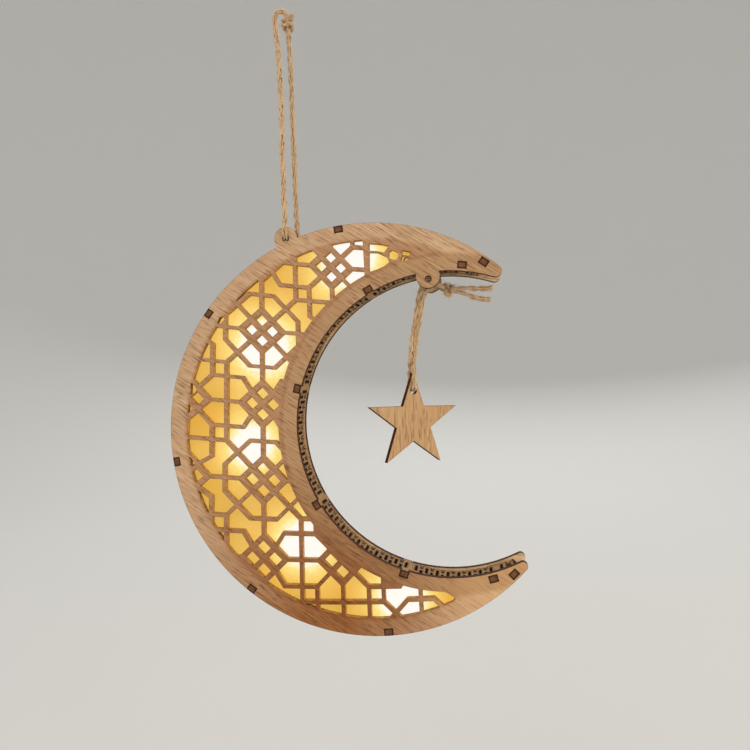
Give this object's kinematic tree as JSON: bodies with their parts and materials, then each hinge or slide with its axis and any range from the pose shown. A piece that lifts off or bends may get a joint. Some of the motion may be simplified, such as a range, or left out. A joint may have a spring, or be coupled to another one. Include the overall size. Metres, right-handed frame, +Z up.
{
  "type": "eid crescent ornament",
  "caption": "Hanging crescent lantern of laser-cut plywood with a pierced lattice face over an amber sheet, lights and coin cells inside, and a plywood star hanging in its bay on jute twine.",
  "frame": {"origin": "where the hanging loop bears on what it hangs from", "axes": "+X right seen from the front, -Y out of the front face, +Z up"},
  "size_m": [0.1578, 0.0243, 0.2835],
  "materials": {
    "face_ply": "bare plywood with fine slanting grain, scorched at the cuts",
    "strip_ply": "bare plywood, scorched by its close saw cuts",
    "star_ply": "bare plywood with upright grain, scorched edges",
    "amber_sheet": "translucent amber sheet",
    "wire": "enamelled copper wire",
    "clear_bead": "clear resin bead, lit",
    "case_plastic": "moulded plastic",
    "cell_metal": "bright cell can",
    "contact_brass": "sprung brass strip",
    "switch_plastic": "black moulded plastic",
    "screw_steel": "plated steel",
    "jute": "twisted jute twine, hairy"
  },
  "bodies": {
    "cord": {"hanging_cord": "jute", "loop_knot": "jute"},
    "crescent": {"front_panel": "face_ply", "back_panel": "face_ply", "outer_wall": "strip_ply", "inner_wall": "strip_ply", "diffuser": "amber_sheet", "light_wire": "wire", "light_beads": "clear_bead", "battery_case": "case_plastic", "cell_front": "cell_metal", "cell_back": "cell_metal", "contact_spring": "contact_brass", "contact_strip": "contact_brass", "star_tie": "jute", "star_knot": "jute"},
    "battery_cover": {"battery_cover": "case_plastic", "cover_screw": "screw_steel"},
    "switch": {"switch_slider": "switch_plastic"},
    "star_cord": {"star_cord": "jute"},
    "star": {"star": "star_ply"}
  },
  "joints": [
    {"name": "crescent_swing", "type": "hinge", "parent": "cord", "child": "crescent", "pos_m": [0.0045, -0.0035, -0.1068], "axis": [0, 1, 0], "range_deg": [-30, 30]},
    {"name": "cover_lift", "type": "slide", "parent": "crescent", "child": "battery_cover", "axis": [0, 1, 0], "range_m": [0, 0.012]},
    {"name": "switch_slide", "type": "slide", "parent": "crescent", "child": "switch", "axis": [-1, 0, 0], "range_m": [0, 0.0025]},
    {"name": "star_swing", "type": "hinge", "parent": "crescent", "child": "star_cord", "pos_m": [0.06708, -0.002, -0.12749], "axis": [0, 1, 0], "range_deg": [-35, 20]},
    {"name": "star_rock", "type": "hinge", "parent": "star_cord", "child": "star", "pos_m": [0.05898, -0.002, -0.1753], "axis": [0.4695, -0.8829, 0], "range_deg": [-45, 45]}
  ]
}
